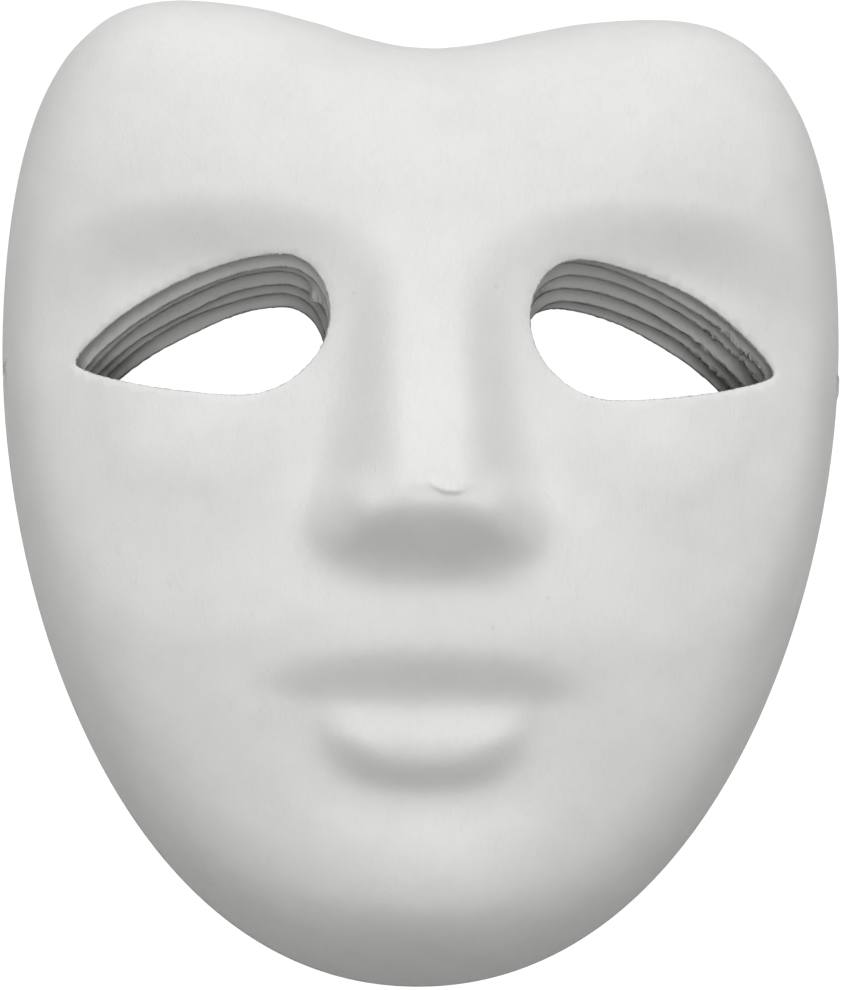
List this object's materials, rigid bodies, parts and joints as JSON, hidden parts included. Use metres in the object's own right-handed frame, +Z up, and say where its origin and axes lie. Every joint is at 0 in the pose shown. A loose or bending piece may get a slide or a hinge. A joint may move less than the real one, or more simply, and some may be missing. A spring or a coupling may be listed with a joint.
{
  "type": "pile of blank face masks",
  "caption": "Pile of nested blank moulded-pulp full-face masks, lying face up, each with two almond eye openings and a strap hole at each side.",
  "frame": {"origin": "centre of the bounding box at its base, on the plane that the bottom mask's rim rests on", "axes": "+Z up, the way the noses point; +Y towards the foreheads; +X towards the wearer's left, which is on the right as the faces are looked at"},
  "size_m": [0.192, 0.224, 0.1371],
  "materials": {
    "white_pulp": "matt bare pulp, fine fibrous texture"
  },
  "bodies": {
    "top_mask": {"top_mask": "white_pulp"},
    "second_mask": {"second_mask": "white_pulp"},
    "third_mask": {"third_mask": "white_pulp"},
    "fourth_mask": {"fourth_mask": "white_pulp"},
    "fifth_mask": {"fifth_mask": "white_pulp"},
    "bottom_mask": {"bottom_mask": "white_pulp"}
  },
  "joints": [
    {"name": "lift_top_mask", "type": "slide", "parent": "second_mask", "child": "top_mask", "axis": [0, 0, 1], "range_m": [0, 0.075]},
    {"name": "lift_second_mask", "type": "slide", "parent": "third_mask", "child": "second_mask", "axis": [0, 0, 1], "range_m": [0, 0.075]},
    {"name": "lift_third_mask", "type": "slide", "parent": "fourth_mask", "child": "third_mask", "axis": [0, 0, 1], "range_m": [0, 0.075]},
    {"name": "lift_fourth_mask", "type": "slide", "parent": "fifth_mask", "child": "fourth_mask", "axis": [0, 0, 1], "range_m": [0, 0.075]},
    {"name": "lift_fifth_mask", "type": "slide", "parent": "bottom_mask", "child": "fifth_mask", "axis": [0, 0, 1], "range_m": [0, 0.075]}
  ]
}
